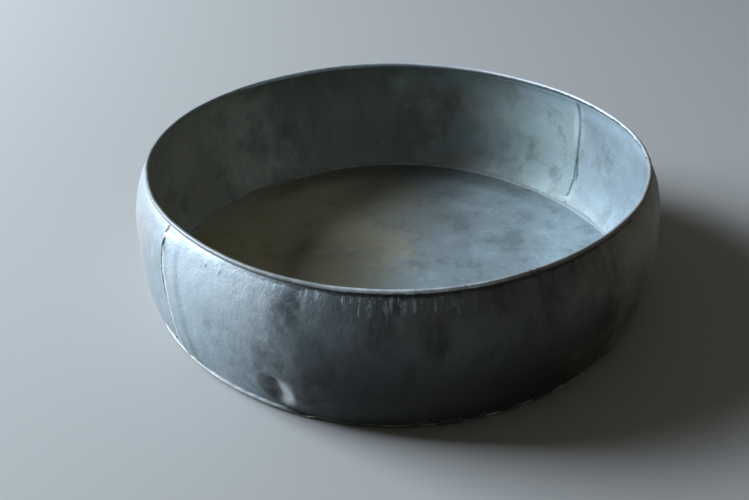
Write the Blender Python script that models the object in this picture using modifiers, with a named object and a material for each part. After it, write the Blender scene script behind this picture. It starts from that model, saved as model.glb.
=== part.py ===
"""Zinc shaving bowl: a low, bulging basin of two soldered wall panels on a flat base.

Metres, +Z up. The origin is the middle of the underside, and +Z is the bowl's axis. The front
panel's ends lap over the outside of the rear panel's ends, the top edges of both are rolled
outward over a rim wire, and the base's edge is turned up outside the foot of the wall.
"""

import math

import bmesh
import bpy

# Driving dimensions of the bowl.
MAX_DIAMETER = 0.350  # across the bulge
HEIGHT = 0.0945  # underside to the top of the rim bead
RIM_DIAMETER = 0.3272  # centre line of the rim wire
FOOT_DIAMETER = 0.330  # outside of the wall, carried down to the floor
BULGE_HEIGHT = 0.042  # where the wall is widest
LOWER_FULLNESS = 2.8  # higher keeps the wall wide further down
UPPER_FULLNESS = 2.9  # higher keeps the wall wide further up
SHOULDER_ROUNDING = 0.75  # lower turns the wall in more sharply just under the rim

# Sheet, wire and the gap left between neighbouring pieces.
SHEET = 0.0006
GAP = 0.0003
BEAD_RADIUS = 0.0013
WIRE_DIAMETER = 0.0009

# Seams: both lie on one line through the axis.
LEFT_SEAM_AZIMUTH = math.radians(218)
LAP = math.radians(3.4)  # how far each end of the rear panel reaches under the front panel
JOGGLE_FLAT = math.radians(3.8)  # the front panel stands out over the lap this far
JOGGLE_END = math.radians(5)
BUTT_GAP = math.radians(0.05)  # half the gap where the panels meet edge to edge
LAP_BOTTOM = 0.0075  # the lap is notched out below this height, clear of the base's edge
LAP_TOP = 0.0850  # and above this one, clear of the rim bead
JOGGLE_BOTTOM = 0.0045
JOGGLE_TOP = 0.0882

# Base and solder.
BASE_EDGE_HEIGHT = 0.0026
SEAM_SOLDER_RADIUS = 0.00045
BASE_SOLDER_RADIUS = 0.0004
FILLET_WIDTH = 0.0020
FILLET_HEIGHT = 0.0022
LEAN_ALLOWANCE = 1.2  # the wall leans out at its foot, so a level gap is wider by this much

# Fineness of the solids.
STEPS_ROUND = 72
STEP = 2 * math.pi / STEPS_ROUND
CURL_STEPS = 9
WIRE_SIDES = 8
SHARP_ANGLE = math.radians(40)
MERGE = 0.00001

MAX_RADIUS = MAX_DIAMETER / 2
RIM_RADIUS = RIM_DIAMETER / 2
FOOT_RADIUS = FOOT_DIAMETER / 2
BEAD_HEIGHT = HEIGHT - BEAD_RADIUS
CURL_RADIUS = BEAD_RADIUS - SHEET / 2  # middle of the rolled sheet
CURL_START = math.radians(225)  # where the wall runs into the bead, seen along the bead
CURL_SWEEP = math.radians(289)
WALL_TOP_RADIUS = RIM_RADIUS + CURL_RADIUS * math.cos(CURL_START) + SHEET / 2
WALL_TOP_HEIGHT = BEAD_HEIGHT + CURL_RADIUS * math.sin(CURL_START)
WALL_FOOT_HEIGHT = SHEET + GAP
WALL_HEIGHTS = (
    WALL_FOOT_HEIGHT,
    JOGGLE_BOTTOM,
    LAP_BOTTOM,
    0.0125,
    0.0190,
    0.0270,
    BULGE_HEIGHT,
    0.0560,
    0.0670,
    0.0745,
    0.0800,
    LAP_TOP,
    JOGGLE_TOP,
    0.0910,
)


def wall_radius(height):
    """Outside radius of the wall at a height above the table."""
    if height < BULGE_HEIGHT:
        below = 1 - height / BULGE_HEIGHT
        return MAX_RADIUS - (MAX_RADIUS - FOOT_RADIUS) * below**LOWER_FULLNESS
    above = min((height - BULGE_HEIGHT) / (WALL_TOP_HEIGHT - BULGE_HEIGHT), 1)
    width = (1 - above**UPPER_FULLNESS) ** SHOULDER_ROUNDING
    return WALL_TOP_RADIUS + (MAX_RADIUS - WALL_TOP_RADIUS) * width


def panel_profile():
    """Middle line of a wall panel's sheet, from the foot up and round the rim bead."""
    points = [(wall_radius(height) - SHEET / 2, height) for height in WALL_HEIGHTS]
    for step in range(CURL_STEPS + 1):
        angle = CURL_START - CURL_SWEEP * step / CURL_STEPS
        radius = RIM_RADIUS + CURL_RADIUS * math.cos(angle)
        points.append((radius, BEAD_HEIGHT + CURL_RADIUS * math.sin(angle)))
    return points


def ramp(value, start, end):
    """0 at start, 1 at end, straight between them."""
    return min(max((value - start) / (end - start), 0), 1)


def joggle(angle, height):
    """How far the front panel stands out at an angle from its nearer end."""
    along = ramp(angle, JOGGLE_END, JOGGLE_FLAT)
    upward = ramp(height, JOGGLE_BOTTOM, LAP_BOTTOM) * ramp(height, JOGGLE_TOP, LAP_TOP)
    return (SHEET + GAP) * along * upward


def zinc_material(name, colour, roughness, metallic):
    material = bpy.data.materials.new(name)
    material.use_nodes = True
    shader = material.node_tree.nodes["Principled BSDF"]
    shader.inputs["Base Color"].default_value = (*colour, 1)
    shader.inputs["Roughness"].default_value = roughness
    shader.inputs["Metallic"].default_value = metallic
    material.diffuse_color = (*colour, 1)
    return material


def add_object(name, data, material):
    obj = bpy.data.objects.new(name, data)
    obj.data.materials.append(material)
    bowl_collection.objects.link(obj)
    obj.parent = bowl_frame
    return obj


def mesh_from(name, form):
    mesh = bpy.data.meshes.new(name)
    form.to_mesh(mesh)
    form.free()
    mesh.shade_smooth()
    mesh.set_sharp_from_angle(angle=SHARP_ANGLE)
    return mesh


def profile_mesh(name, points, closed):
    """A line of vertices in the XZ plane, for a Screw modifier to turn."""
    form = bmesh.new()
    line = [form.verts.new((radius, 0, height)) for radius, height in points]
    for first, second in zip(line, line[1:]):
        form.edges.new((first, second))
    if closed:
        form.edges.new((line[-1], line[0]))
    return mesh_from(name, form)


def add_screw(obj):
    screw = obj.modifiers.new("turn", "SCREW")
    screw.steps = STEPS_ROUND
    screw.render_steps = STEPS_ROUND
    screw.use_merge_vertices = True
    screw.merge_threshold = MERGE
    screw.use_smooth_shade = True


def add_sheet_thickness(obj):
    solidify = obj.modifiers.new("sheet", "SOLIDIFY")
    solidify.thickness = SHEET
    solidify.offset = 0
    solidify.use_even_offset = True


def swept_sheet(angles):
    """The panel profile swept through the given angles, as an open surface."""
    form = bmesh.new()
    start = angles[0]
    line = [
        form.verts.new((radius * math.cos(start), radius * math.sin(start), height))
        for radius, height in panel_profile()
    ]
    edge = line + [form.edges.new(pair) for pair in zip(line, line[1:])]
    for before, after in zip(angles, angles[1:]):
        spun = bmesh.ops.spin(
            form, geom=edge, cent=(0, 0, 0), axis=(0, 0, 1), angle=after - before, steps=1
        )
        edge = spun["geom_last"]
    bmesh.ops.recalc_face_normals(form, faces=form.faces)
    return form


def add_front_panel(material):
    """The panel on the viewer's side, from the left seam round to the right one."""
    inner = [STEP * step for step in range(1, STEPS_ROUND // 2)]
    angles = [BUTT_GAP, JOGGLE_FLAT, *inner, math.pi - JOGGLE_FLAT, math.pi - BUTT_GAP]
    form = swept_sheet(angles)
    for vert in form.verts:
        angle = math.atan2(vert.co.y, vert.co.x)
        radius = math.hypot(vert.co.x, vert.co.y)
        stand_out = joggle(min(angle, math.pi - angle), vert.co.z)
        vert.co.xy *= (radius + stand_out) / radius
    obj = add_object("front_wall_panel", mesh_from("front_wall_panel", form), material)
    add_sheet_thickness(obj)


def add_rear_panel(material):
    """The panel away from the viewer, with a tongue at each end under the front panel."""
    inner = [math.pi + STEP * step for step in range(1, STEPS_ROUND // 2)]
    first = math.pi + BUTT_GAP
    last = 2 * math.pi - BUTT_GAP
    form = swept_sheet([math.pi - LAP, first, *inner, last, 2 * math.pi + LAP])
    tongues = [face for face in form.faces if face.calc_center_median().y > 0]
    notched = [
        face
        for face in tongues
        if not LAP_BOTTOM < face.calc_center_median().z < LAP_TOP
    ]
    bmesh.ops.delete(form, geom=notched, context="FACES")
    obj = add_object("rear_wall_panel", mesh_from("rear_wall_panel", form), material)
    add_sheet_thickness(obj)


def add_base(material):
    """Flat disc with its edge turned up along the outside of the wall's foot."""
    middle = SHEET / 2
    outward = GAP + SHEET / 2
    heights = (BASE_EDGE_HEIGHT, BASE_EDGE_HEIGHT / 2, middle)
    points = [(wall_radius(height) + outward, height) for height in heights]
    points.append((0, middle))
    obj = add_object("base_disc", profile_mesh("base_disc", points, False), material)
    add_screw(obj)
    add_sheet_thickness(obj)


def add_ring(name, radius, height, tube_radius, material):
    bpy.ops.mesh.primitive_torus_add(
        major_segments=STEPS_ROUND,
        minor_segments=WIRE_SIDES,
        major_radius=radius,
        minor_radius=tube_radius,
    )
    made = bpy.context.object
    mesh = made.data
    bpy.data.objects.remove(made)
    mesh.name = name
    mesh.shade_smooth()
    obj = add_object(name, mesh, material)
    obj.location.z = height


def add_inner_fillet(material):
    """Three-cornered run of solder where the floor meets the wall."""
    foot = SHEET + GAP
    clear = SHEET + GAP * LEAN_ALLOWANCE
    corner = wall_radius(foot) - clear
    top = foot + FILLET_HEIGHT
    points = [
        (corner - FILLET_WIDTH, foot),
        (wall_radius(top) - clear, top),
        (corner, foot),
    ]
    mesh = profile_mesh("base_inner_solder", points, True)
    obj = add_object("base_inner_solder", mesh, material)
    add_screw(obj)


def add_seam_solder(name, azimuth, outward, material):
    """A rod of solder up a seam, with its centre this far outside the wall's outer face."""
    curve = bpy.data.curves.new(name, "CURVE")
    curve.dimensions = "3D"
    curve.bevel_depth = SEAM_SOLDER_RADIUS
    curve.bevel_resolution = 1
    curve.use_fill_caps = True
    heights = [height for height in WALL_HEIGHTS if LAP_BOTTOM < height < LAP_TOP]
    spline = curve.splines.new("POLY")
    spline.points.add(len(heights) - 1)
    for point, height in zip(spline.points, heights):
        radius = wall_radius(height) + outward
        x = radius * math.cos(azimuth)
        y = radius * math.sin(azimuth)
        point.co = (x, y, height, 1)
    add_object(name, curve, material)


for old in list(bpy.data.objects):
    bpy.data.objects.remove(old)

bowl_collection = bpy.data.collections.new("shaving_bowl")
bpy.context.scene.collection.children.link(bowl_collection)
bowl_frame = bpy.data.objects.new("bowl_frame", None)
bowl_frame.rotation_euler.z = LEFT_SEAM_AZIMUTH
bowl_collection.objects.link(bowl_frame)

wall_zinc = zinc_material("wall_zinc", (0.30, 0.36, 0.38), 0.55, 0.6)
base_zinc = zinc_material("base_zinc", (0.26, 0.29, 0.27), 0.6, 0.5)
rim_iron = zinc_material("rim_iron", (0.20, 0.19, 0.18), 0.5, 0.9)
solder = zinc_material("solder", (0.55, 0.58, 0.58), 0.4, 0.7)

add_front_panel(wall_zinc)
add_rear_panel(wall_zinc)
add_base(base_zinc)
add_ring("rim_wire", RIM_RADIUS, BEAD_HEIGHT, WIRE_DIAMETER / 2, rim_iron)

solder_height = BASE_EDGE_HEIGHT + GAP + BASE_SOLDER_RADIUS
solder_radius = wall_radius(solder_height) + GAP + BASE_SOLDER_RADIUS
add_ring("base_outer_solder", solder_radius, solder_height, BASE_SOLDER_RADIUS, solder)
add_inner_fillet(solder)

beside_edge = (GAP + SEAM_SOLDER_RADIUS) / MAX_RADIUS
on_outside = GAP + SEAM_SOLDER_RADIUS
on_inside = -SEAM_SOLDER_RADIUS
add_seam_solder("left_seam_outer_solder", -beside_edge, on_outside, solder)
add_seam_solder("right_seam_outer_solder", math.pi + beside_edge, on_outside, solder)
add_seam_solder("left_seam_inner_solder", LAP + beside_edge, on_inside, solder)
add_seam_solder("right_seam_inner_solder", math.pi - LAP - beside_edge, on_inside, solder)
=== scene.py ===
"""Looks of the zinc shaving bowl: hand-worked sheet, runs of solder, dents and a mottled patina.

Metres, in the frame's own space. The wall panels, the base and the solder are rebuilt finer than
the CAD solids, inside their box, with the small faults of a hand-made bowl.
"""

import math
import random

import bmesh
import bpy
from mathutils import Matrix, Vector, noise


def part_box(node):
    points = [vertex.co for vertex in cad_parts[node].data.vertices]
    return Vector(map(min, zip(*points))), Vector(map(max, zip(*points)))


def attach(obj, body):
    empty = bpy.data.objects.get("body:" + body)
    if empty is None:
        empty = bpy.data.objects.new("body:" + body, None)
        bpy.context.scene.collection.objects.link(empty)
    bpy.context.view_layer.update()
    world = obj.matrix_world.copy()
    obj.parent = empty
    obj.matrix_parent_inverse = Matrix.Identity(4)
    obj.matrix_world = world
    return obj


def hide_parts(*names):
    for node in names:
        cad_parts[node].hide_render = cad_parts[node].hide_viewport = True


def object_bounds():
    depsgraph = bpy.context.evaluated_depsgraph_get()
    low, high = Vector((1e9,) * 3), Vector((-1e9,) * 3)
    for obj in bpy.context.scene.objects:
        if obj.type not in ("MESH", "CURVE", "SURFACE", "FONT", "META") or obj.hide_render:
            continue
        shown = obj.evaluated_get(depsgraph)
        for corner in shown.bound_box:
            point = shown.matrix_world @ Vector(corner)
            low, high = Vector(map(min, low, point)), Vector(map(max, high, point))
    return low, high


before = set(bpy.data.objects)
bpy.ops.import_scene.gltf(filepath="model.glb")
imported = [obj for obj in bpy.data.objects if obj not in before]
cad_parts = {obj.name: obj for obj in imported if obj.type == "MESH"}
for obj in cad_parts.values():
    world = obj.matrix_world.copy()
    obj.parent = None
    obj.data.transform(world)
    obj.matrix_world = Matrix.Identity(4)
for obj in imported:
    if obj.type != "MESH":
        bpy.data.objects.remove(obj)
cad_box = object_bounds()

MM = 0.001
DEG = math.pi / 180

# ---------------------------------------------------------------- the bowl's sizes, from the frame
BOWL_HIGH = cad_box[1]
WIRE_LOW, WIRE_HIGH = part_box("rim_wire")
BASE_LOW, BASE_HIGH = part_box("base_disc")
WIRE_RADIUS = (WIRE_HIGH[2] - WIRE_LOW[2]) / 2

# How far from round, as parts of the radius: (times round, cosine part, sine part) for the rim.
FOUR_SIDED = 0.0079
RIM_WAVES = ((2, 0.0078, 0.0029), (3, 0.0023, 0.0060))
SPARE = 0.1 * MM  # kept free inside the CAD box

SHEET = 0.7 * MM
MAX_RADIUS = (BOWL_HIGH[0] - SPARE) / (1 + FOUR_SIDED)
RIM_RADIUS = MAX_RADIUS * 0.9326
FOOT_RADIUS = MAX_RADIUS * 0.9390
RIM_DROP = 0.8 * MM
TALL = BOWL_HIGH[2] - SPARE - RIM_DROP
BULGE_HEIGHT = TALL * 0.4450
LOWER_FULLNESS = 2.8
UPPER_FULLNESS = 2.9
SHOULDER_ROUNDING = 0.75
BEAD_RADIUS = 1.35 * MM
CURL_RADIUS = BEAD_RADIUS - SHEET / 2
CURL_START = 225 * DEG
BEAD_HEIGHT = TALL - BEAD_RADIUS
WALL_TOP_RADIUS = RIM_RADIUS + CURL_RADIUS * math.cos(CURL_START) + SHEET / 2
WALL_TOP = BEAD_HEIGHT + CURL_RADIUS * math.sin(CURL_START)
WALL_FOOT = 0.9 * MM
FLOOR_TOP = BASE_LOW[2] + SHEET

# The seams, where the front panel laps over the rear one.
LAP = 3.4 * DEG
LAPPED = SHEET + 0.15 * MM
LEFT_EDGE_TOP = 215 * DEG
LEFT_EDGE_LEAN = 5.5 * DEG
RIGHT_EDGE = 38.8 * DEG
LAP_BOTTOM = 5 * MM
LAP_TOP = TALL - 5 * MM

# The gap where the left seam has opened.
SLIT_HEIGHT = TALL * 0.87
SLIT_HALF_HEIGHT = 4.5 * MM

# The dent in the front wall.
DENT_AZIMUTH = 247.4 * DEG
DENT_HEIGHT = TALL * 0.23
DENT_HALF_WIDTH = 7.2 * MM
DENT_HALF_HEIGHT = 12.5 * MM
DENT_DEPTH = 5.2 * MM
DENT_LEAN = 0.42

# Where the rolled rim is torn, in degrees.
TORN = (296.6, 298.2)

# The hem pressed into the inside under the rim, behind the right seam.
HEM_HEIGHT = TALL - 6.5 * MM

# Small knocks in the sheet: (depth mm, azimuth, half width in degrees, part of the height, half height mm).
KNOCKS = (
    (0.7, 269.5, 0.9, 0.81, 5),
    (0.5, 291, 0.8, 0.86, 3),
    (0.8, 232, 1.5, 0.52, 4),
    (0.6, 322, 1.6, 0.40, 5),
)

# How finely the meshes are divided.
WALL_ROWS, CURL_ROWS = 84, 16
FLOOR_ROWS, EDGE_ROWS = 60, 8
PANEL_COLUMNS = 480
RING_COLUMNS = 720
SEAM_STEPS = 160


def smooth(value, start, end):
    """0 at start, 1 at end, with an S curve between."""
    part = min(max((value - start) / (end - start), 0), 1)
    return part * part * (3 - 2 * part)


def ripple(azimuth, height, scale, seed):
    """Smooth noise, about -1 to 1, over the wall of the bowl."""
    place = Vector((math.cos(azimuth), math.sin(azimuth), height / MAX_RADIUS)) * scale
    return noise.noise(place + Vector((seed, seed * 1.7, seed * 0.3)))


def profile_radius(height):
    """Outside radius of the round bowl at a height."""
    if height < BULGE_HEIGHT:
        below = 1 - height / BULGE_HEIGHT
        return MAX_RADIUS - (MAX_RADIUS - FOOT_RADIUS) * below**LOWER_FULLNESS
    above = min((height - BULGE_HEIGHT) / (WALL_TOP - BULGE_HEIGHT), 1)
    width = (1 - above**UPPER_FULLNESS) ** SHOULDER_ROUNDING
    return WALL_TOP_RADIUS + (MAX_RADIUS - WALL_TOP_RADIUS) * width


def out_of_round(azimuth, height):
    """How much wider than round the bowl is here, in metres."""
    wide = FOUR_SIDED * math.cos(4 * azimuth) * profile_radius(min(height, WALL_TOP))
    rim = sum(c * math.cos(n * azimuth) + s * math.sin(n * azimuth) for n, c, s in RIM_WAVES)
    return wide + rim * RIM_RADIUS * smooth(height, TALL * 0.55, TALL * 0.97)


def rim_lift(azimuth, height):
    """The rim stands a little higher on the left than on the right."""
    return -RIM_DROP * math.cos(azimuth) * height / TALL


def dent(azimuth, height):
    """How far the dent pushes the wall in."""
    up = (height - DENT_HEIGHT) / DENT_HALF_HEIGHT
    across = (azimuth - DENT_AZIMUTH) * MAX_RADIUS / DENT_HALF_WIDTH + DENT_LEAN * up
    across /= max(1 - 0.55 * up * up, 0.4)
    valley = max(min((across + 1.9) / 1.3, (1.25 - across) / 1.85), 0)
    return DENT_DEPTH * valley**1.25 * (1 - smooth(abs(up), 0.3, 1))


def hump(value, middle, half_width):
    """1 at the middle, falling smoothly to 0."""
    return math.exp(-(((value - middle) / half_width) ** 2))


def creases(azimuth, height):
    """Small marks in the sheet: the hem and the knocks."""
    turned = azimuth % (2 * math.pi)
    hem = smooth(turned, 14 * DEG, 22 * DEG) * smooth(turned, 84 * DEG, 66 * DEG)
    shift = -0.45 * MM * hump(height, HEM_HEIGHT, 1.2 * MM) * hem
    for depth, middle, half_width, part, half_height in KNOCKS:
        across = hump(azimuth, middle * DEG, half_width * DEG)
        shift -= depth * MM * across * hump(height, TALL * part, half_height * MM)
    return shift


def wall_shift(azimuth, height):
    """Everything that moves the wall in or out from the round profile."""
    shift = out_of_round(azimuth, height) - dent(azimuth, height)
    shift += 0.40 * MM * ripple(azimuth, height, 5, 3)
    shift += 0.16 * MM * ripple(azimuth, height, 16, 9)
    return shift + creases(azimuth, height)


def profile_rows():
    """Middle line of the sheet as (kind, radius, height): the wall, then the rolled rim."""
    rows = []
    for step in range(WALL_ROWS + 1):
        part = 1 - (1 - step / WALL_ROWS) ** 1.35
        height = WALL_FOOT + (WALL_TOP - WALL_FOOT) * part
        rows.append(("wall", profile_radius(height) - SHEET / 2, height))
    return rows + [("curl", step / CURL_ROWS, BEAD_HEIGHT) for step in range(1, CURL_ROWS + 1)]


def rolled(azimuth, part):
    """Radius and height of the rolled rim, part 0 where it leaves the wall to 1 at its free edge."""
    turned = azimuth % (2 * math.pi)
    torn = sum(hump(turned, place * DEG, 0.45 * DEG) for place in TORN)
    sweep = (300 + 16 * ripple(azimuth, 0, 38, 41) - 120 * min(torn, 1)) * DEG
    angle = CURL_START - sweep * part
    right_side = smooth(math.cos(azimuth), 0.72, 0.95)
    reach = CURL_RADIUS * (1 + 0.55 * right_side * smooth(part, 0.60, 0.85))
    return RIM_RADIUS + reach * math.cos(angle), BEAD_HEIGHT + reach * math.sin(angle)


def lap_part(height):
    """1 where the rear panel runs on under the front one, 0 at the foot and in the rim."""
    low = smooth(height, LAP_BOTTOM, LAP_BOTTOM + 2 * MM)
    return low * (1 - smooth(height, LAP_TOP - 2 * MM, LAP_TOP))


def left_edge(height):
    """Azimuth of the front panel's left edge, which leans and is bitten away at the slit."""
    bite = 0.40 * DEG * hump(height, SLIT_HEIGHT, SLIT_HALF_HEIGHT)
    return LEFT_EDGE_TOP + LEFT_EDGE_LEAN * (1 - min(height / TALL, 1)) + bite


def lap_opening(azimuth, height):
    """How far the front panel stands out where it laps over the rear one."""
    from_left = (azimuth - left_edge(height)) / LAP
    from_right = (RIGHT_EDGE + 2 * math.pi - azimuth) / LAP
    left = (1 - smooth(from_left, 1.1, 1.7)) * LAPPED
    left += hump(height, SLIT_HEIGHT, SLIT_HALF_HEIGHT) * 1.0 * MM * (1 - smooth(from_left, 0, 1.2))
    left += 0.6 * MM * (1 - smooth(from_left, 0, 0.35)) * (1 + ripple(azimuth, height, 30, 7))
    right = (1 - smooth(from_right, 1.1, 1.7)) * LAPPED
    return (left + right) * lap_part(height)


def grid_mesh(name, columns, rows, point):
    """An open sheet of quads; point(column part 0 to 1, row) gives each corner."""
    mesh = bpy.data.meshes.new(name)
    across = len(rows)
    verts = [point(column / columns, row) for column in range(columns + 1) for row in rows]
    faces = [
        (a, a + across, a + across + 1, a + 1)
        for column in range(columns)
        for a in range(column * across, column * across + across - 1)
    ]
    mesh.from_pydata(verts, [], faces)
    return mesh


def at(azimuth, radius, height):
    return (radius * math.cos(azimuth), radius * math.sin(azimuth), height)


def add_piece(name, mesh, thickness=None):
    piece = bpy.data.objects.new(name, mesh)
    bpy.context.scene.collection.objects.link(piece)
    if thickness:
        solid = piece.modifiers.new("sheet", "SOLIDIFY")
        solid.thickness = thickness
        solid.offset = 0
        solid.use_even_offset = False
        graph = bpy.context.evaluated_depsgraph_get()
        finished = bpy.data.meshes.new_from_object(piece.evaluated_get(graph))
        piece.modifiers.clear()
        piece.data = finished
    piece.data.shade_smooth()
    piece.data.set_sharp_from_angle(angle=50 * DEG)
    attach(piece, "root")
    return piece


def panel_point(azimuth, row, opening=0.0):
    """A point of a wall panel's middle surface; in a curl row, radius is the part of the roll."""
    kind, radius, height = row
    shift = wall_shift(azimuth, height) + opening
    if kind == "curl":
        radius, height = rolled(azimuth, radius)
    return at(azimuth, radius + shift, height + rim_lift(azimuth, height))


def front_panel_point(part, row):
    height = row[2]
    start, end = left_edge(height), RIGHT_EDGE + 2 * math.pi
    azimuth = start + (end - start) * part
    return panel_point(azimuth, row, lap_opening(azimuth, height))


def rear_panel_point(part, row):
    height = row[2]
    start = RIGHT_EDGE - LAP * lap_part(height) + 0.05 * DEG
    end = left_edge(height) + LAP * lap_part(height) - 0.05 * DEG
    return panel_point(start + (end - start) * part, row)


rows = profile_rows()
front_mesh = grid_mesh("front_wall", PANEL_COLUMNS, rows, front_panel_point)
rear_mesh = grid_mesh("rear_wall", PANEL_COLUMNS, rows, rear_panel_point)
front_panel = add_piece("front_wall", front_mesh, SHEET)
rear_panel = add_piece("rear_wall", rear_mesh, SHEET)


# ---------------------------------------------------------------- base with its turned-up edge
def tear(azimuth):
    """Where the base's turned-up edge is torn down, beside the dent: 0 to 1."""
    return hump(azimuth, 251.5 * DEG, 1.6 * DEG)


def front_left(azimuth):
    """Where the base's edge is scraped bright, with painted light, and stands off the wall: 0 to 1."""
    turned = azimuth % (2 * math.pi)
    return smooth(turned, 188 * DEG, 206 * DEG) * smooth(turned, 252 * DEG, 247 * DEG)


def edge_height(azimuth):
    height = 3.2 * MM + 0.5 * MM * ripple(azimuth, 0, 9, 31) + 0.35 * MM * ripple(azimuth, 0, 40, 33)
    return height + 1.0 * MM * front_left(azimuth) - 2.0 * MM * tear(azimuth)


def edge_gap(azimuth):
    """How far the turned-up edge stands off the wall."""
    loose = max(ripple(azimuth, 0, 14, 37), 0)
    return 0.12 * MM + 0.55 * MM * loose + 0.9 * MM * tear(azimuth) + 0.6 * MM * front_left(azimuth)


def base_point(part, row):
    kind, along = row
    azimuth = 2 * math.pi * part
    foot = FOOT_RADIUS + SHEET / 2 + wall_shift(azimuth, 0)
    if kind == "floor":
        radius = foot * along
        swell = 0.35 * MM * (noise.noise(Vector(at(azimuth, radius, 0)) * 9) + 0.5)
        swell *= smooth(radius, foot, foot * 0.9)
        return at(azimuth, radius, SHEET / 2 + BASE_LOW[2] + max(swell, 0))
    height = SHEET / 2 + (edge_height(azimuth) - SHEET / 2) * along
    radius = profile_radius(height) + SHEET / 2 + wall_shift(azimuth, height)
    return at(azimuth, radius + edge_gap(azimuth) * smooth(along, 0, 0.6), height)


base_rows = [("floor", step / FLOOR_ROWS) for step in range(1, FLOOR_ROWS + 1)]
base_rows += [("edge", step / EDGE_ROWS) for step in range(1, EDGE_ROWS + 1)]


def closed_ring_mesh(name, columns, rows, point, middle=None):
    """Like grid_mesh, but the last column joins the first; middle closes the inner end."""
    mesh = bpy.data.meshes.new(name)
    across = len(rows)
    verts = [point(column / columns, row) for column in range(columns) for row in rows]
    faces = []
    for column in range(columns):
        here = column * across
        there = (column + 1) % columns * across
        faces += [(here + n, there + n, there + n + 1, here + n + 1) for n in range(across - 1)]
        if middle:
            faces.append((columns * across, there, here))
    if middle:
        verts.append(middle)
    mesh.from_pydata(verts, [], faces)
    return mesh


base_middle = (0, 0, SHEET / 2 + BASE_LOW[2])
base_mesh = closed_ring_mesh("base", RING_COLUMNS, base_rows, base_point, base_middle)
base = add_piece("base", base_mesh, SHEET)


# ---------------------------------------------------------------- solder
def run_mesh(name, steps, closed, section, sides=8):
    """A lumpy run of solder: section(part) gives foot a, foot b and the crown's rise."""
    verts = []
    for step in range(steps + (0 if closed else 1)):
        first, second, crown = section(step / steps)
        middle = (first + second) / 2
        for side in range(sides):
            angle = 2 * math.pi * side / sides
            rise = crown * (max(math.sin(angle), 0) + 0.35 * min(math.sin(angle), 0))
            verts.append(middle + (second - first) / 2 * math.cos(angle) + rise)
    faces = []
    rings = steps if closed else steps + 1
    for ring in range(steps):
        here = ring * sides
        there = (ring + 1) % rings * sides
        for side in range(sides):
            after = (side + 1) % sides
            faces.append((here + side, here + after, there + after, there + side))
    if not closed:
        faces.append(tuple(range(sides)))
        faces.append(tuple(steps * sides + side for side in reversed(range(sides))))
    mesh = bpy.data.meshes.new(name)
    mesh.from_pydata(verts, [], faces)
    form = bmesh.new()
    form.from_mesh(mesh)
    bmesh.ops.recalc_face_normals(form, faces=form.faces)
    form.to_mesh(mesh)
    form.free()
    return mesh


def wall_place(azimuth, height, outward):
    """A point this far out from the sheet's outer face, and the outward direction there."""
    radius = profile_radius(height) + wall_shift(azimuth, height) + outward
    point = Vector(at(azimuth, radius, height + rim_lift(azimuth, height)))
    slope = (profile_radius(height + MM) - profile_radius(max(height - MM, 0))) / (2 * MM)
    normal = Vector((math.cos(azimuth), math.sin(azimuth), -slope)).normalized()
    return point, normal


def lumps(azimuth, height, seed):
    """0 to about 1: how thick the solder lies here."""
    coarse = ripple(azimuth, height, 10, seed)
    fine = ripple(azimuth, height, 34, seed + 5)
    return min(max(0.5 + 0.6 * coarse + 0.5 * fine, 0.05), 1.2)


def seam_section(edge_azimuth, faces, seed, rise):
    """A seam's solder bridges the step at edge_azimuth(height), between the faces of two sheets.

    faces are how far outside the wall's outer face each sheet lies, clockwise one first.
    """
    inside = min(faces) < 0

    def section(part):
        height = LAP_BOTTOM + 2 * MM + (LAP_TOP - LAP_BOTTOM - 4 * MM) * part
        azimuth = edge_azimuth(height)
        thick = lumps(azimuth, height, seed) * (1 - 0.65 * hump(part, 0.36, 0.14))
        thick += 0.9 * hump(part, 0.17, 0.02)
        half = (0.5 + 1.1 * thick) * MM
        first = wall_place(azimuth - half / MAX_RADIUS, height, faces[0])[0]
        second, normal = wall_place(azimuth + half / MAX_RADIUS, height, faces[1])
        if inside:
            normal = -normal
        taper = max(smooth(part, 0, 0.05) * smooth(part, 1, 0.95), 0.08)
        return first, second, normal * (0.25 + 0.75 * thick) * MM * taper * rise

    return section


def rear_left_edge(height):
    return left_edge(height) + LAP * lap_part(height)


def rear_right_edge(height):
    return RIGHT_EDGE - LAP * lap_part(height)


def solder_run(name, replaced, steps, closed, section):
    run = add_piece(name, run_mesh(name, steps, closed, section))
    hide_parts(replaced)
    return run


def outer_base_section(part):
    azimuth = 2 * math.pi * part
    height = edge_height(azimuth)
    thick = lumps(azimuth, 0, 51)
    lower = wall_place(azimuth, height - 0.2 * MM, edge_gap(azimuth) + SHEET * 0.7)[0]
    rise = 0.3 + 0.9 * thick + 0.9 * front_left(azimuth)
    upper, normal = wall_place(azimuth, height + rise * MM, -0.15 * MM)
    return lower, upper, normal * (0.1 + 0.45 * thick) * MM


def inner_base_section(part):
    azimuth = 2 * math.pi * part
    thick = lumps(azimuth, 0, 71)
    upper = wall_place(azimuth, FLOOR_TOP + (1.0 + 1.3 * thick) * MM, -SHEET + 0.1 * MM)[0]
    foot = FOOT_RADIUS + wall_shift(azimuth, 0) - (0.8 + 1.4 * thick) * MM
    lower = Vector(at(azimuth, foot, FLOOR_TOP - 0.1 * MM))
    direction = Vector((-math.cos(azimuth), -math.sin(azimuth), 1)).normalized()
    return lower, upper, direction * (0.15 + 0.25 * thick) * MM


def seam_run(name, replaced, edge_azimuth, faces, seed, rise):
    section = seam_section(edge_azimuth, faces, seed, rise)
    return solder_run(name, replaced, SEAM_STEPS, False, section)


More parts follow.
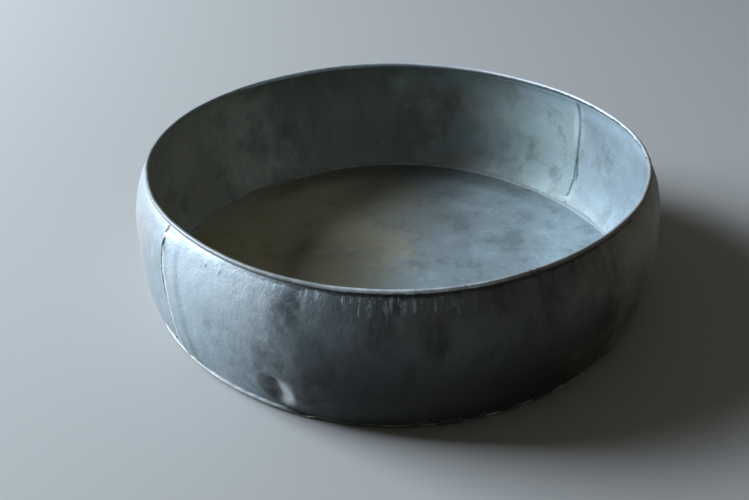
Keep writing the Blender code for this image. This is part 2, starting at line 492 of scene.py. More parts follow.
left_outer = seam_run("left_outer_solder", "left_seam_outer_solder",
                      lambda z: left_edge(z) - 0.95 * DEG, (0, 0), 11, 1.2)
left_inner = seam_run("left_inner_solder", "left_seam_inner_solder",
                      lambda z: rear_left_edge(z) + 0.32 * DEG, (-SHEET, LAPPED - SHEET), 13, 0.4)
right_outer = seam_run("right_outer_solder", "right_seam_outer_solder",
                       lambda z: RIGHT_EDGE + 0.32 * DEG, (LAPPED, 0), 17, 0.5)
right_inner = seam_run("right_inner_solder", "right_seam_inner_solder",
                       lambda z: rear_right_edge(z) - 0.10 * DEG, (LAPPED - SHEET, -SHEET), 19, 0.4)
base_outer = solder_run("base_outer_run", "base_outer_solder", RING_COLUMNS, True, outer_base_section)
base_inner = solder_run("base_inner_run", "base_inner_solder", RING_COLUMNS, True, inner_base_section)


def tube_mesh(name, columns, tube_radius, sides=10):
    """The rim's iron wire, in the middle of the rolled edge all the way round."""

    def point(part, side):
        azimuth = 2 * math.pi * part
        angle = 2 * math.pi * side / sides
        radius = RIM_RADIUS + wall_shift(azimuth, BEAD_HEIGHT) + tube_radius * math.cos(angle)
        middle = BEAD_HEIGHT + rim_lift(azimuth, BEAD_HEIGHT)
        return at(azimuth, radius, middle + tube_radius * math.sin(angle))

    mesh = closed_ring_mesh(name, columns, list(range(sides)), point)
    form = bmesh.new()
    form.from_mesh(mesh)
    form.verts.ensure_lookup_table()
    for column in range(columns):
        here = column * sides
        there = (column + 1) % columns * sides
        corners = (here + sides - 1, there + sides - 1, there, here)
        form.faces.new([form.verts[corner] for corner in corners])
    bmesh.ops.recalc_face_normals(form, faces=form.faces)
    form.to_mesh(mesh)
    form.free()
    return mesh


wire = add_piece("rim_wire_bent", tube_mesh("rim_wire_bent", RING_COLUMNS, WIRE_RADIUS))
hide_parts("rim_wire")


# ---------------------------------------------------------------- drips that set under the rim
def drip_mesh(name, drips):
    """Flattened, tapering beads on the wall: each is (azimuth, top height, length, half width)."""
    form = bmesh.new()
    for azimuth, top, length, half in drips:
        made = bmesh.ops.create_icosphere(form, subdivisions=3, radius=1)
        for vert in made["verts"]:
            across, upward, out = vert.co
            narrow = 0.65 - 0.35 * upward
            height = top - length / 2 * (1 - upward)
            place, normal = wall_place(azimuth + across * half * narrow / MAX_RADIUS, height, 0)
            vert.co = place + normal * (out * half * 0.20 * narrow)
    bmesh.ops.recalc_face_normals(form, faces=form.faces)
    mesh = bpy.data.meshes.new(name)
    form.to_mesh(mesh)
    form.free()
    return mesh


chance = random.Random(5)
drips = []
for number in range(36):
    azimuth = (228 + 54 * (number + chance.uniform(-0.9, 0.9)) / 35) * DEG
    length = chance.choice((2.5, 3.5, 5.0, 8.0)) * chance.uniform(0.8, 1.2) * MM
    top = TALL - (3.4 + chance.choice((0, 0, 1.5, 4.0)) * chance.random()) * MM
    drips.append((azimuth, top, length, chance.choice((0.3, 0.45, 0.6, 1.1)) * MM))
drips.append((281.2 * DEG, TALL - 3.3 * MM, 10 * MM, 0.7 * MM))
rim_drips = add_piece("rim_drips", drip_mesh("rim_drips", drips))

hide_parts("front_wall_panel")
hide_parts("rear_wall_panel")
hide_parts("base_disc")


# ---------------------------------------------------------------- materials
GRAIN_DEPTH = 0.12 * MM


class Look:
    """One procedural material: its node tree, with short ways to add the nodes used here."""

    def __init__(self, name):
        self.material = bpy.data.materials.new(name)
        self.material.use_nodes = True
        self.tree = self.material.node_tree
        self.shader = self.tree.nodes["Principled BSDF"]
        self.place = self.node("ShaderNodeTexCoord").outputs["Object"]

    def node(self, kind, inputs=(), **settings):
        made = self.tree.nodes.new(kind)
        for key, value in settings.items():
            setattr(made, key, value)
        for key, value in dict(inputs).items():
            self.feed(made.inputs[key], value)
        return made

    def feed(self, socket, value):
        if isinstance(value, bpy.types.NodeSocket):
            self.tree.links.new(value, socket)
        else:
            socket.default_value = value

    def math(self, operation, first, second=0.0):
        return self.node("ShaderNodeMath", {0: first, 1: second}, operation=operation).outputs[0]

    def times(self, product, *factors):
        for factor in factors:
            product = self.math("MULTIPLY", product, factor)
        return product

    def step(self, value, low, high):
        """0 where value is under low, 1 over high, with an S curve between; low may exceed high."""
        inputs = {"Value": value, "From Min": low, "From Max": high}
        return self.node("ShaderNodeMapRange", inputs, interpolation_type="SMOOTHSTEP").outputs[0]

    def band(self, value, rise_start, rise_end, fall_start, fall_end):
        """1 between rise_end and fall_start, falling to 0 on both sides."""
        return self.times(self.step(value, rise_start, rise_end), self.step(value, fall_end, fall_start))

    def cloud(self, scale, detail=4.0, rough=0.6, place=None, shift=0.0):
        """Noise, about 0.3 to 0.7, with features 1/scale metres apart."""
        source = self.place if place is None else place
        moved = self.node("ShaderNodeVectorMath", {0: source, 1: (shift, shift, shift)}).outputs[0]
        inputs = {"Vector": moved, "Scale": scale, "Detail": detail, "Roughness": rough}
        return self.node("ShaderNodeTexNoise", inputs).outputs[0]

    def mix(self, part, first, second):
        """first where part is 0, second where it is 1."""
        made = self.node("ShaderNodeMix", data_type="RGBA")
        for socket, value in zip((made.inputs[0], made.inputs[6], made.inputs[7]), (part, first, second)):
            self.feed(socket, (*value, 1) if isinstance(value, tuple) else value)
        return made.outputs[2]

    def paint(self, colour, over, *masks):
        """colour, with the colour over laid on it as far as the product of the masks."""
        return self.mix(self.times(*masks), colour, over)

    def bump(self, height, distance, below=None):
        inputs = {"Height": height, "Distance": distance, "Strength": 1.0}
        if below is not None:
            inputs["Normal"] = below
        return self.node("ShaderNodeBump", inputs).outputs[0]

    def axes(self):
        split = self.node("ShaderNodeSeparateXYZ", {0: self.place})
        return split.outputs[0], split.outputs[1], split.outputs[2]

    def outward(self):
        """The level direction away from the bowl's middle."""
        across, along = self.axes()[:2]
        flat = self.node("ShaderNodeCombineXYZ", {0: across, 1: along}).outputs[0]
        return self.node("ShaderNodeVectorMath", {0: flat}, operation="NORMALIZE").outputs[0]

    def round_place(self, upward):
        """Coordinates wrapped round the wall, with heights times upward: under 1 draws streaks."""
        height = self.axes()[2]
        inputs = {0: self.outward(), "Scale": MAX_RADIUS}
        wrapped = self.node("ShaderNodeVectorMath", inputs, operation="SCALE").outputs[0]
        raised = self.node("ShaderNodeCombineXYZ", {2: self.times(height, upward)}).outputs[0]
        return self.node("ShaderNodeVectorMath", {0: wrapped, 1: raised}).outputs[0]

    def towards(self, azimuth, half_width):
        """1 on the side of the bowl at this azimuth, falling to 0 half_width degrees away."""
        inputs = {0: self.outward(), 1: (math.cos(azimuth * DEG), math.sin(azimuth * DEG), 0)}
        dot = self.node("ShaderNodeVectorMath", inputs, operation="DOT_PRODUCT").outputs["Value"]
        return self.step(dot, math.cos(half_width * DEG), math.cos(half_width * 0.3 * DEG))

    def facing_out(self):
        """1 on faces that look away from the bowl's middle, 0 on those that look up or in."""
        inputs = {0: self.node("ShaderNodeTexCoord").outputs["Normal"], 1: self.outward()}
        dot = self.node("ShaderNodeVectorMath", inputs, operation="DOT_PRODUCT").outputs["Value"]
        return self.step(dot, 0.1, 0.8)

    def azimuth(self, wander=0.0):
        """Degrees round the bowl, -180 to 180 from +X; wander makes a mask's edge uneven."""
        across, along = self.axes()[:2]
        turned = self.times(self.math("ARCTAN2", along, across), 1 / DEG)
        uneven = self.math("SUBTRACT", self.cloud(45, 5, 0.65, shift=4.6), 0.5)
        return self.math("ADD", turned, self.times(uneven, wander))

    def near(self, middle, reach, core, flatten=1.0):
        """1 within core of a point, 0 beyond reach; flatten under 1 stretches the spot upwards."""
        moved = self.node("ShaderNodeVectorMath", {0: self.place, 1: middle}, operation="SUBTRACT")
        inputs = {0: moved.outputs[0], 1: (1, 1, flatten)}
        squashed = self.node("ShaderNodeVectorMath", inputs, operation="MULTIPLY").outputs[0]
        away = self.node("ShaderNodeVectorMath", {0: squashed}, operation="LENGTH").outputs["Value"]
        return self.step(away, reach, core)

    def past_left_edge(self):
        """How far past the front panel's left edge, as an angle; under 0 is on the rear panel."""
        across, along, height = self.axes()
        azimuth = self.math("ARCTAN2", along, across)
        lean = self.times(height, -LEFT_EDGE_LEAN / TALL)
        edge = self.math("ADD", lean, LEFT_EDGE_TOP + LEFT_EDGE_LEAN - 2 * math.pi)
        return self.math("SUBTRACT", azimuth, edge)

    def scratches(self, scale, stretch, shift):
        """Short, thin, slanting scratches: 1 on a scratch, 0 elsewhere."""
        inputs = {"Vector": self.place, "Axis": (0.4, 0.3, 1), "Angle": shift}
        turned = self.node("ShaderNodeVectorRotate", inputs)
        inputs = {0: turned.outputs[0], 1: (1, 1 / stretch, 1)}
        drawn = self.node("ShaderNodeVectorMath", inputs, operation="MULTIPLY").outputs[0]
        lines = self.step(self.cloud(scale, 1.0, 0.4, drawn, shift), 0.70, 0.76)
        return self.times(lines, self.step(self.cloud(26, 3, 0.5, shift=shift), 0.46, 0.58))

    def finish(self, colour, rough, metal, normal):
        self.feed(self.shader.inputs["Base Color"], colour)
        self.feed(self.shader.inputs["Roughness"], rough)
        self.feed(self.shader.inputs["Metallic"], metal)
        self.feed(self.shader.inputs["Normal"], normal)
        return self.material


def outside_zinc():
    look = Look("zinc_outside")
    height = look.axes()[2]
    streaked = look.round_place(0.16)
    broad = look.cloud(17, 6, 0.66, shift=3.1)
    blotches = look.cloud(55, 6, 0.68, shift=1.3)
    grain = look.cloud(420, 3, 0.7)
    streaks = look.cloud(170, 4, 0.62, streaked, 0.7)
    fine_streaks = look.cloud(270, 4, 0.6, streaked, 2.3)

    turned = look.azimuth(27)
    colour = look.mix(look.step(broad, 0.36, 0.64), (0.275, 0.345, 0.385), (0.375, 0.445, 0.490))

    # Greyer on the side away from the dent.
    far_side = look.math("MAXIMUM", look.step(turned, -138, -162), look.step(turned, 100, 150))
    colour = look.paint(colour, (0.440, 0.425, 0.420), far_side, 0.55)
    colour = look.paint(colour, (0.200, 0.260, 0.295), look.step(blotches, 0.50, 0.68), 0.65)
    colour = look.paint(colour, (0.47, 0.54, 0.58), look.step(blotches, 0.46, 0.34), 0.45)
    colour = look.paint(colour, (0.46, 0.53, 0.58), look.step(streaks, 0.54, 0.68), 0.15)
    colour = look.paint(colour, (0.13, 0.165, 0.185), look.step(streaks, 0.44, 0.32), 0.20)

    colour = look.paint(colour, (0.430, 0.415, 0.405), far_side, 0.45)

    # Paler at the front left, partly the patina and partly painted light where the light falls; darker on
    # the shoulder above; then painted shade from there round to the right, with dark and pale streaks in
    # it.
    pale_and_lit_side = look.band(turned, -153, -138, -119, -106)
    paler_above = look.math("ADD", look.times(look.step(height, TALL * 0.32, TALL * 0.90), 0.58), 0.22)
    colour = look.paint(colour, (0.56, 0.63, 0.68), pale_and_lit_side, paler_above)
    shoulder = look.times(look.step(turned, -104, -122), look.step(height, TALL * 0.84, TALL * 0.96))
    colour = look.paint(colour, (0.280, 0.310, 0.335), shoulder, 0.45)
    front = look.band(turned, -124, -92, -48, -8)
    shaded = look.mix(look.step(turned, -106, -80), (0.046, 0.056, 0.062), (0.058, 0.051, 0.034))
    colour = look.paint(colour, shaded, front, 0.80)
    soft_streaks = look.cloud(62, 5, 0.65, look.round_place(0.40), 6.9)
    colour = look.paint(colour, (0.026, 0.027, 0.026), front, look.step(soft_streaks, 0.46, 0.70), 0.7)
    colour = look.paint(colour, (0.115, 0.135, 0.145), front, look.step(soft_streaks, 0.47, 0.34), 0.5)

    # Painted shade, brown-black, towards the foot there, and olive on the right.
    cloudy_height = look.math("ADD", height, look.times(blotches, 0.03))
    low = look.step(cloudy_height, 0.098, 0.042)
    low = look.times(low, look.band(turned, -126, -104, -52, -15))
    colour = look.paint(colour, (0.012, 0.012, 0.011), low, 0.88)
    right_side = look.band(turned, -62, -25, 40, 95)
    olive = look.times(right_side, look.step(broad, 0.32, 0.56))
    colour = look.paint(colour, (0.300, 0.285, 0.195), olive, 0.75)

    # Pale oxide that ran down from the rim as drips, with splashes round it.
    near_rim = look.step(height, TALL - 24 * MM, TALL - 5 * MM)
    drips = look.step(look.math("ADD", fine_streaks, look.times(near_rim, 0.10)), 0.66, 0.74)
    drips = look.times(drips, near_rim)
    splashes = look.step(look.cloud(200, 4, 0.6, look.round_place(0.6), 5.0), 0.56, 0.64)
    splashes = look.times(splashes, look.step(height, TALL - 15 * MM, TALL - 6 * MM))
    pale = look.math("MAXIMUM", drips, splashes)
    pale = look.times(pale, look.math("ADD", look.times(look.towards(250, 38), 0.9), 0.08))
    colour = look.paint(colour, (0.50, 0.57, 0.61), pale, 0.45)
    smudge_place = at(249.5 * DEG, profile_radius(TALL * 0.84), TALL * 0.84)
    smudge = look.times(look.near(smudge_place, 15 * MM, 2 * MM, 0.8), look.step(blotches, 0.38, 0.54))
    colour = look.paint(colour, (0.045, 0.055, 0.065), smudge, 0.75)

    # Painted shade under the rolled rim: a ragged dark band at the top of the wall, from the front round to
    # the back right.
    ragged = look.math("ADD", height, look.times(look.cloud(150, 5, 0.7, shift=7.7), 5 * MM))
    rim_shade = look.step(ragged, TALL - 1.9 * MM, TALL - 1.1 * MM)
    rim_shade = look.times(rim_shade, look.band(turned, -136, -108, 20, 90))
    colour = look.paint(colour, (0.025, 0.026, 0.028), rim_shade, 0.7)

    # Scraped metal in the dent, paler still as painted light on the flank that faces the light; dirt along
    # the left seam, with a painted highlight along the front panel's edge beside it.
    dent_radius = profile_radius(DENT_HEIGHT) - DENT_DEPTH / 2
    dent_place = at(DENT_AZIMUTH + 3.0 * MM / MAX_RADIUS, dent_radius, DENT_HEIGHT)
    scraped_and_lit = look.times(look.near(dent_place, 9 * MM, 4.0 * MM, 0.55), look.step(blotches, 0.74, 0.50))
    colour = look.paint(colour, (0.60, 0.64, 0.66), scraped_and_lit, 0.85)
    beside = look.past_left_edge()
    wander = look.times(look.math("SUBTRACT", look.cloud(260, 3, 0.6, shift=2.9), 0.5), 0.9 * DEG)
    beside = look.math("ADD", beside, wander)
    seam_dirt = look.band(beside, -1.1 * DEG, -0.6 * DEG, 0.08 * DEG, 0.22 * DEG)
    broken = look.step(look.cloud(110, 3, 0.6, shift=7.1), 0.44, 0.53)
    broken = look.math("MAXIMUM", broken, look.step(height, TALL * 0.78, TALL * 0.83))
    seam_dirt = look.times(seam_dirt, broken)
    colour = look.paint(colour, (0.040, 0.043, 0.045), seam_dirt, 0.85)
    # Painted highlight along the front panel's edge.
    edge_highlight = look.band(beside, 0.18 * DEG, 0.34 * DEG, 0.6 * DEG, 1.1 * DEG)
    colour = look.paint(colour, (0.78, 0.82, 0.84), edge_highlight, 0.8)
    slit_place = at(left_edge(SLIT_HEIGHT) - 0.4 * DEG, profile_radius(SLIT_HEIGHT), SLIT_HEIGHT)
    slit = look.near(slit_place, 3.1 * MM, 1.9 * MM, 0.28)
    colour = look.paint(colour, (0.006, 0.006, 0.006), slit, 0.98)

    # Bare, scuffed patches along the foot.
    scuffed = look.band(turned, -92, -84, -40, -30)
    scuffed = look.times(scuffed, look.step(height, 10 * MM, 5 * MM))
    scuffed = look.times(scuffed, look.step(look.cloud(150, 5, 0.7, shift=8.3), 0.50, 0.60))
    colour = look.paint(colour, (0.300, 0.290, 0.250), scuffed, 0.55)

    scratches = look.times(look.scratches(190, 8, 5.1), look.math("SUBTRACT", 1.0, front))
    colour = look.paint(colour, (0.60, 0.66, 0.70), scratches, 0.2)
    specks = look.step(look.cloud(700, 2, 0.5, shift=4.4), 0.66, 0.72)
    colour = look.paint(colour, (0.10, 0.11, 0.11), specks, 0.5)

    rough = look.math("ADD", look.times(blotches, 0.40), 0.34)
    normal = look.bump(grain, GRAIN_DEPTH)
    normal = look.bump(streaks, 0.00006, normal)
    normal = look.bump(blotches, 0.0010, normal)
    # Less metallic in the painted shade towards the foot.
    metal = look.math("SUBTRACT", 0.30, look.times(low, 0.25))
    look.shader.inputs["Specular IOR Level"].default_value = 0.3
    return look.finish(colour, rough, metal, normal)


def inside_zinc():
    look = Look("zinc_inside")
    height = look.axes()[2]
    broad = look.cloud(13, 5, 0.60, shift=8.4)
    blotches = look.cloud(44, 5, 0.62, look.round_place(0.7), 2.9)
    grain = look.cloud(420, 3, 0.7, shift=1.9)
    streaks = look.cloud(150, 4, 0.6, look.round_place(0.14), 4.1)

    colour = look.mix(look.step(broad, 0.36, 0.62), (0.300, 0.268, 0.192), (0.385, 0.362, 0.292))
    green = look.times(look.step(blotches, 0.50, 0.66), 0.5)
    colour = look.paint(colour, (0.225, 0.282, 0.245), green)
    brown = look.step(look.cloud(40, 5, 0.65, look.round_place(0.8), 6.6), 0.53, 0.68)
    colour = look.paint(colour, (0.120, 0.115, 0.090), brown, 0.5)
    colour = look.paint(colour, (0.35, 0.40, 0.39), look.step(streaks, 0.52, 0.66), 0.2)
    colour = look.paint(colour, (0.12, 0.125, 0.11), look.step(streaks, 0.45, 0.34), 0.25)

    # Darker round the back, then painted daylight: bluer and paler on the side that the light falls on.
    turned = look.azimuth(70)
    back = look.band(turned, 66, 90, 118, 140)
    colour = look.paint(colour, (0.130, 0.135, 0.122), back, 0.60)
    pale = look.band(turned, -120, -60, 58, 84)
    rear = look.step(look.azimuth(9), 31, 38)
    daylight = look.mix(rear, (0.245, 0.320, 0.385), (0.335, 0.435, 0.455))
    colour = look.paint(colour, daylight, pale, 0.80)
    sheen = look.times(pale, look.step(look.cloud(32, 6, 0.68, shift=9.9), 0.44, 0.62))
    colour = look.paint(colour, (0.37, 0.45, 0.48), sheen, 0.5)
    smudges = look.times(pale, look.step(look.cloud(52, 6, 0.70, look.round_place(0.8), 1.7), 0.53, 0.66))
    colour = look.paint(colour, (0.165, 0.205, 0.200), smudges, 0.55)
    # Painted light: paler just under the rim on the right, where the wall curls in and faces down.
    shoulder = look.times(look.band(turned, -60, -10, 40, 66), look.step(height, TALL * 0.70, TALL * 0.93))
    colour = look.paint(colour, (0.520, 0.620, 0.690), shoulder, 0.75)
    # Painted light and shade on the back right: paler high up, darker lower down where the rim's shadow
    # falls.
    upper = look.band(turned, 48, 66, 76, 98)
    lower = look.times(upper, look.step(height, TALL * 0.60, TALL * 0.35))
    upper = look.times(upper, look.step(height, TALL * 0.45, TALL * 0.80))
    colour = look.paint(colour, (0.320, 0.375, 0.365), upper, 0.5)
    colour = look.paint(colour, (0.120, 0.130, 0.130), lower, 0.35)
    below_hem = look.step(height, HEM_HEIGHT + 0.8 * MM, HEM_HEIGHT + 2.6 * MM)
    below_hem = look.times(below_hem, look.step(look.cloud(60, 4, 0.6, shift=2.6), 0.42, 0.56))
    below_hem = look.times(below_hem, look.step(turned, 42, 62))
    colour = look.paint(colour, (0.150, 0.165, 0.165), below_hem, 0.35)
    tide = look.times(look.step(height, 0.016, 0.005), look.step(blotches, 0.38, 0.56))
    colour = look.paint(colour, (0.27, 0.29, 0.27), tide, 0.3)

    scratches = look.scratches(160, 7, 2.1)
    colour = look.paint(colour, (0.50, 0.56, 0.58), scratches, 0.15)

    # The right seam: a pale edge above, and a wandering dirty crack beside it.
    beside = look.azimuth(3.6)
    crack = look.band(beside, 33.9, 34.5, 34.8, 35.2)
    patchy = look.step(look.cloud(80, 3, 0.6, shift=3.7), 0.40, 0.56)
    crack = look.times(crack, patchy, look.step(height, TALL * 1.1, TALL * 0.35))
    colour = look.paint(colour, (0.080, 0.095, 0.095), crack, 0.8)
    edge = look.band(beside, 34.9, 35.2, 36.5, 37.2)
    edge = look.times(edge, look.step(height, TALL * 0.45, TALL * 0.65))
    colour = look.paint(colour, (0.50, 0.58, 0.60), edge, 0.75)
    rough = look.math("ADD", look.times(blotches, 0.4), 0.38)
    normal = look.bump(grain, GRAIN_DEPTH)
    normal = look.bump(streaks, 0.00008, normal)
    normal = look.bump(blotches, 0.0009, normal)
    return look.finish(colour, rough, 0.30, normal)


def floor_zinc():
    look = Look("zinc_floor")
    across, along = look.axes()[:2]
    broad = look.cloud(11, 5, 0.6, shift=5.5)
    blotches = look.cloud(38, 5, 0.65, shift=0.4)
    grain = look.cloud(500, 3, 0.7, shift=3.3)
    out = look.node("ShaderNodeVectorMath", {0: look.place}, operation="LENGTH").outputs["Value"]

    # Painted light and shade: warm olive over the shaded left of the floor, bluer where the light falls on
    # the right, with a soft edge between them.
    colour = look.mix(look.step(broad, 0.36, 0.62), (0.530, 0.495, 0.340), (0.590, 0.560, 0.430))
    colour = look.paint(colour, (0.210, 0.190, 0.120), look.step(blotches, 0.50, 0.68), 0.4)
    hazy = look.math("ADD", across, look.times(broad, 0.20))
    lit_blue = look.step(hazy, 0.065, 0.150)
    colour = look.paint(colour, (0.300, 0.385, 0.450), lit_blue, 0.85)
    colour = look.paint(colour, (0.45, 0.55, 0.61), lit_blue, look.step(blotches, 0.50, 0.34), 0.8)
    colour = look.paint(colour, (0.205, 0.245, 0.250), lit_blue, look.step(blotches, 0.50, 0.66), 0.7)
    rim_side = look.band(look.azimuth(40), 25, 75, 110, 155)
    ring = look.times(look.step(out, FOOT_RADIUS * 0.80, FOOT_RADIUS * 0.93), rim_side)
    colour = look.paint(colour, (0.130, 0.130, 0.105), ring, 0.65)
    # Painted shade on the floor, left of the middle.
    floor_shade = look.band(across, -0.110, -0.055, -0.035, 0.020)
    floor_shade = look.times(floor_shade, look.step(along, 0.075, 0.015))
    colour = look.paint(colour, (0.200, 0.190, 0.135), floor_shade, 0.9)
    # Painted shade at the back of the floor.
    far = look.times(look.step(along, 0.0, 0.080), look.band(across, -0.060, -0.015, 0.020, 0.080))
    colour = look.paint(colour, (0.150, 0.160, 0.155), far, 0.45)
    scratches = look.math("MAXIMUM", look.scratches(150, 9, 2.2), look.scratches(110, 12, 7.5))
    colour = look.paint(colour, (0.55, 0.62, 0.66), scratches, 0.2)

    rough = look.math("ADD", look.times(blotches, 0.4), 0.32)
    normal = look.bump(grain, GRAIN_DEPTH)
    normal = look.bump(blotches, 0.0010, normal)
    return look.finish(colour, rough, 0.45, normal)


def underside_zinc():
    look = Look("zinc_underside")
    broad = look.cloud(16, 5, 0.6, shift=1.5)
    blotches = look.cloud(70, 5, 0.65, shift=9.4)
    grain = look.cloud(450, 3, 0.7, shift=3.8)
    scuffs = look.math("MAXIMUM", look.scratches(120, 9, 3.2), look.scratches(170, 7, 8.5))
    colour = look.mix(look.step(broad, 0.38, 0.62), (0.180, 0.190, 0.185), (0.300, 0.335, 0.350))
    colour = look.paint(colour, (0.120, 0.110, 0.085), look.step(blotches, 0.44, 0.74), 0.8)
    colour = look.paint(colour, (0.48, 0.53, 0.56), scuffs, 0.3)
    rough = look.math("ADD", look.times(blotches, 0.35), 0.35)
    normal = look.bump(blotches, 0.0006, look.bump(grain, GRAIN_DEPTH))
    return look.finish(colour, rough, 0.50, normal)


def rim_zinc():
    look = Look("zinc_rim")
    streaked = look.round_place(1.0)
    patches = look.cloud(90, 5, 0.65, streaked, 2.0)
    grain = look.cloud(600, 3, 0.7, shift=6.1)
    wear = look.cloud(24, 4, 0.6, streaked, 4.9)
    colour = look.mix(look.step(patches, 0.36, 0.60), (0.400, 0.450, 0.480), (0.580, 0.640, 0.670))
    colour = look.paint(colour, (0.70, 0.74, 0.76), look.step(wear, 0.50, 0.68), 0.5)
    stains = look.step(look.cloud(150, 4, 0.6, streaked, 8.8), 0.58, 0.66)
    colour = look.paint(colour, (0.170, 0.140, 0.120), stains, 0.5)
    height = look.axes()[2]
    turned = look.azimuth(20)
    left_side = look.math("MAXIMUM", look.step(turned, -92, -112), look.step(turned, 120, 150))
    colour = look.paint(colour, (0.185, 0.195, 0.200), left_side, 0.85)
    # Painted light: the rim paler at the back right, where it catches the light.
    lit_back_right = look.band(turned, -2, 16, 84, 104)
    colour = look.paint(colour, (0.540, 0.565, 0.610), lit_back_right, 0.9)
    # Painted shade under the bead, from the front round to the back right.
    ragged = look.math("ADD", height, look.times(look.cloud(160, 5, 0.7, shift=3.3), 4 * MM))
    under = look.step(ragged, BEAD_HEIGHT + 2.0 * MM, BEAD_HEIGHT + 1.3 * MM)
    under = look.times(under, look.band(turned, -134, -104, 20, 90))
    colour = look.paint(colour, (0.035, 0.036, 0.038), under, 0.85)
    for place in TORN:
        gap = look.near(at(place * DEG, RIM_RADIUS + 1.2 * MM, BEAD_HEIGHT), 2.0 * MM, 1.0 * MM)
        colour = look.paint(colour, (0.012, 0.011, 0.010), gap, 0.95)
    # Painted shade: the rim's outward faces near black on the right, away from the light.
    shaded_outer_faces = look.times(look.facing_out(), look.band(turned, -82, -58, 40, 80))
    colour = look.paint(colour, (0.045, 0.042, 0.038), shaded_outer_faces, 0.7)
    colour = look.paint(colour, (0.190, 0.180, 0.170), look.band(turned, -82, -58, -12, 10), 0.55)
    rough = look.math("ADD", look.times(patches, 0.4), 0.30)
    normal = look.bump(patches, 0.0003, look.bump(grain, 0.00010))
    return look.finish(colour, rough, 0.25, normal)


def base_edge_zinc():
    """The base's turned-up edge: scraped bright at the front left, with painted light there, and near black
    elsewhere as painted shade.
    """
    look = Look("zinc_base_edge")
    streaked = look.round_place(1.0)
    patches = look.cloud(110, 5, 0.65, streaked, 1.7)
    grain = look.cloud(600, 3, 0.7, shift=4.1)
    turned = look.azimuth(14)
    bright = look.math("MAXIMUM", look.step(turned, 160, 176), look.step(turned, -110, -114))
    rough_patch = look.band(turned, -90, -80, -44, -36)
    rough_patch = look.times(rough_patch, look.step(patches, 0.48, 0.58))
    bright = look.math("MAXIMUM", bright, look.times(rough_patch, 0.45))
    colour = look.mix(look.step(patches, 0.36, 0.62), (0.430, 0.520, 0.590), (0.600, 0.690, 0.770))
    # Painted shade: near black away from the light.
    shade_side = look.mix(look.step(patches, 0.40, 0.66), (0.022, 0.021, 0.019), (0.100, 0.105, 0.100))
    colour = look.mix(bright, shade_side, colour)
    rough = look.math("ADD", look.times(patches, 0.4), 0.32)
    normal = look.bump(patches, 0.0004, look.bump(grain, 0.00010))
    return look.finish(colour, rough, 0.25, normal)


def solder_metal():
    look = Look("solder_metal")
    lumpy = look.cloud(300, 4, 0.6, shift=2.7)
    grain = look.cloud(1100, 3, 0.7, shift=1.1)
    dull = look.cloud(70, 4, 0.6, shift=6.3)
    colour = look.mix(look.step(lumpy, 0.40, 0.60), (0.300, 0.330, 0.345), (0.600, 0.640, 0.665))
    colour = look.paint(colour, (0.150, 0.155, 0.145), look.step(dull, 0.50, 0.66), 0.7)
    rough = look.math("ADD", look.times(dull, 0.5), 0.16)
    normal = look.bump(lumpy, 0.0007, look.bump(grain, 0.00015))
    return look.finish(colour, rough, 0.60, normal)


def dull_fillet():
    """Old solder along the floor, under the same patina as the sheet."""
    look = Look("dull_fillet")
    patches = look.cloud(120, 4, 0.6, shift=3.9)
    broad = look.cloud(15, 4, 0.6, shift=7.3)
    grain = look.cloud(800, 3, 0.7, shift=2.1)
    colour = look.mix(look.step(patches, 0.38, 0.62), (0.215, 0.215, 0.180), (0.330, 0.350, 0.325))
    colour = look.paint(colour, (0.160, 0.160, 0.135), look.step(broad, 0.48, 0.62), 0.5)
    # Painted light: bluer on the right, where the light falls.
    colour = look.paint(colour, (0.290, 0.345, 0.370), look.towards(20, 85), 0.8)
    rough = look.math("ADD", look.times(patches, 0.3), 0.50)
    normal = look.bump(patches, 0.0005, look.bump(grain, GRAIN_DEPTH))
    return look.finish(colour, rough, 0.15, normal)


def oxide_drips():
    """Pale, dull drips of solder and oxide."""
    look = Look("oxide_drips")
    patches = look.cloud(240, 4, 0.6, shift=5.9)
    grain = look.cloud(900, 3, 0.7, shift=8.1)
    colour = look.mix(look.step(patches, 0.38, 0.62), (0.230, 0.275, 0.300), (0.460, 0.520, 0.550))
    # Painted shade: the drips darker towards the front right, away from the light.
    colour = look.paint(colour, (0.110, 0.120, 0.120), look.towards(292, 44), 0.7)
    rough = look.math("ADD", look.times(patches, 0.4), 0.30)
    normal = look.bump(patches, 0.0004, look.bump(grain, 0.0001))
    return look.finish(colour, rough, 0.30, normal)


def rusty_iron():
    look = Look("rusty_iron")
    scale = look.cloud(260, 5, 0.65, shift=1.2)
    grain = look.cloud(900, 3, 0.7, shift=4.7)
    colour = look.mix(look.step(scale, 0.42, 0.60), (0.110, 0.090, 0.080), (0.210, 0.095, 0.045))
    rough = look.math("ADD", look.times(scale, 0.5), 0.35)
    normal = look.bump(scale, 0.0002, look.bump(grain, 0.0001))
    return look.finish(colour, rough, 0.40, normal)


OUTSIDE, INSIDE, RIM = 0, 1, 2


def wall_faces(piece):
    """Gives each face of a wall panel its material: outside, inside or the rolled rim."""
    for face in piece.data.polygons:
        out = Vector((face.center.x, face.center.y, 0)).normalized()
        side = INSIDE if face.normal.dot(out) < 0 else OUTSIDE
        rim_starts = (1.8 if side == INSIDE else 1.0) * BEAD_RADIUS
        level = face.center.z - rim_lift(math.atan2(out.y, out.x), TALL)
        face.material_index = RIM if level > BEAD_HEIGHT - rim_starts else side


outside, inside, rim = outside_zinc(), inside_zinc(), rim_zinc()
for panel in (front_panel, rear_panel):
    for material in (outside, inside, rim):
        panel.data.materials.append(material)
    wall_faces(panel)

base_edge = base_edge_zinc()
for material in (base_edge, floor_zinc(), underside_zinc()):
    base.data.materials.append(material)
for face in base.data.polygons:
    if abs(face.normal.z) > 0.7:
        face.material_index = 1 if face.normal.z > 0 else 2

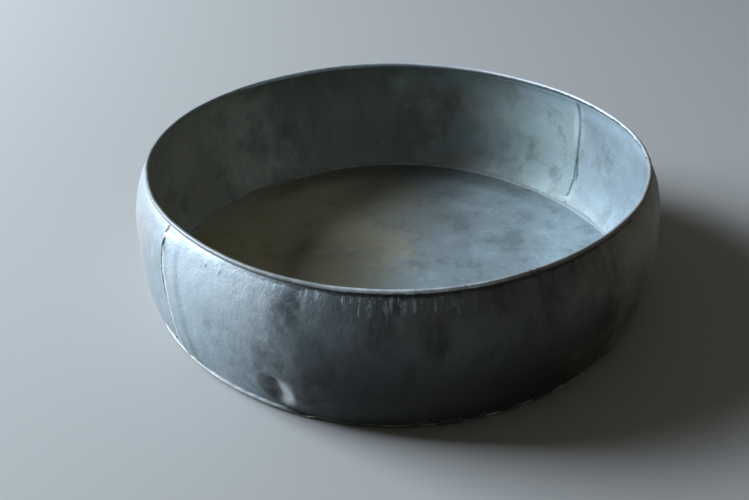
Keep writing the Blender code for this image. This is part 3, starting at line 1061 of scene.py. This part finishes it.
solder_look = solder_metal()
for run in (left_outer, right_outer):
    run.data.materials.append(solder_look)
base_outer.data.materials.append(base_edge)
dull_look = dull_fillet()
base_inner.data.materials.append(dull_look)
for run in (left_inner, right_inner):
    run.data.materials.append(inside)

wire.data.materials.append(rusty_iron())
rim_drips.data.materials.append(oxide_drips())


# ---------------------------------------------------------------- floor, camera, light
def floor_paper():
    material = bpy.data.materials.new("pale_floor")
    material.use_nodes = True
    shader = material.node_tree.nodes["Principled BSDF"]
    shader.inputs["Base Color"].default_value = (0.38, 0.375, 0.37, 1)
    shader.inputs["Roughness"].default_value = 0.8
    return material


floor_mesh = bpy.data.meshes.new("floor")
FLOOR_HALF = 6
FLOOR_HEIGHT = -0.2 * MM  # just under the bowl, so that the two faces don't coincide
corners = [(x * FLOOR_HALF, y * FLOOR_HALF, FLOOR_HEIGHT) for x, y in ((-1, -1), (1, -1), (1, 1), (-1, 1))]
floor_mesh.from_pydata(corners, [], [(0, 1, 2, 3)])
floor = bpy.data.objects.new("floor", floor_mesh)
bpy.context.scene.collection.objects.link(floor)
floor.data.materials.append(floor_paper())

LENS, SENSOR_WIDTH = 45.66088, 36  # mm
CAMERA_BACK, CAMERA_UP = 3.283316 * MAX_RADIUS, 2.153409 * MAX_RADIUS
YAW, PITCH, ROLL = -0.0274, 0.5603, -0.015  # radians
camera_data = bpy.data.cameras.new("camera")
camera_data.sensor_width = SENSOR_WIDTH
camera_data.lens = LENS
camera = bpy.data.objects.new("camera", camera_data)
forward = Vector((math.sin(YAW) * math.cos(PITCH), math.cos(YAW) * math.cos(PITCH), -math.sin(PITCH)))
right = Vector((math.cos(YAW), -math.sin(YAW), 0))
up = right.cross(forward)
side = right * math.cos(ROLL) + up * math.sin(ROLL)
above = up * math.cos(ROLL) - right * math.sin(ROLL)
turn = Matrix((side, above, -forward)).transposed().to_4x4()
camera.matrix_world = Matrix.Translation((0, -CAMERA_BACK, CAMERA_UP)) @ turn
bpy.context.scene.collection.objects.link(camera)
bpy.context.scene.camera = camera

world = bpy.data.worlds.new("studio")
world.use_nodes = True
world.node_tree.nodes["Background"].inputs["Color"].default_value = (0.92, 0.88, 0.76, 1)
world.node_tree.nodes["Background"].inputs["Strength"].default_value = 0.11
bpy.context.scene.world = world


def area_light(name, azimuth, elevation, distance, size, power, colour):
    """A rectangular light that faces the bowl: angles in degrees, power in watts."""
    data = bpy.data.lights.new(name, "AREA")
    data.shape = "RECTANGLE"
    data.size, data.size_y = size
    data.energy = power
    data.color = colour
    light = bpy.data.objects.new(name, data)
    rise = elevation * DEG
    place = Vector(at(azimuth * DEG, distance * math.cos(rise), distance * math.sin(rise)))
    light.location = place
    light.rotation_euler = (-place).to_track_quat("-Z", "Y").to_euler()
    bpy.context.scene.collection.objects.link(light)


area_light("window", 166, 31, 2.6, (1.3, 1.3), 148, (0.77, 0.89, 1.0))
bpy.context.scene.view_settings.view_transform = "Standard"
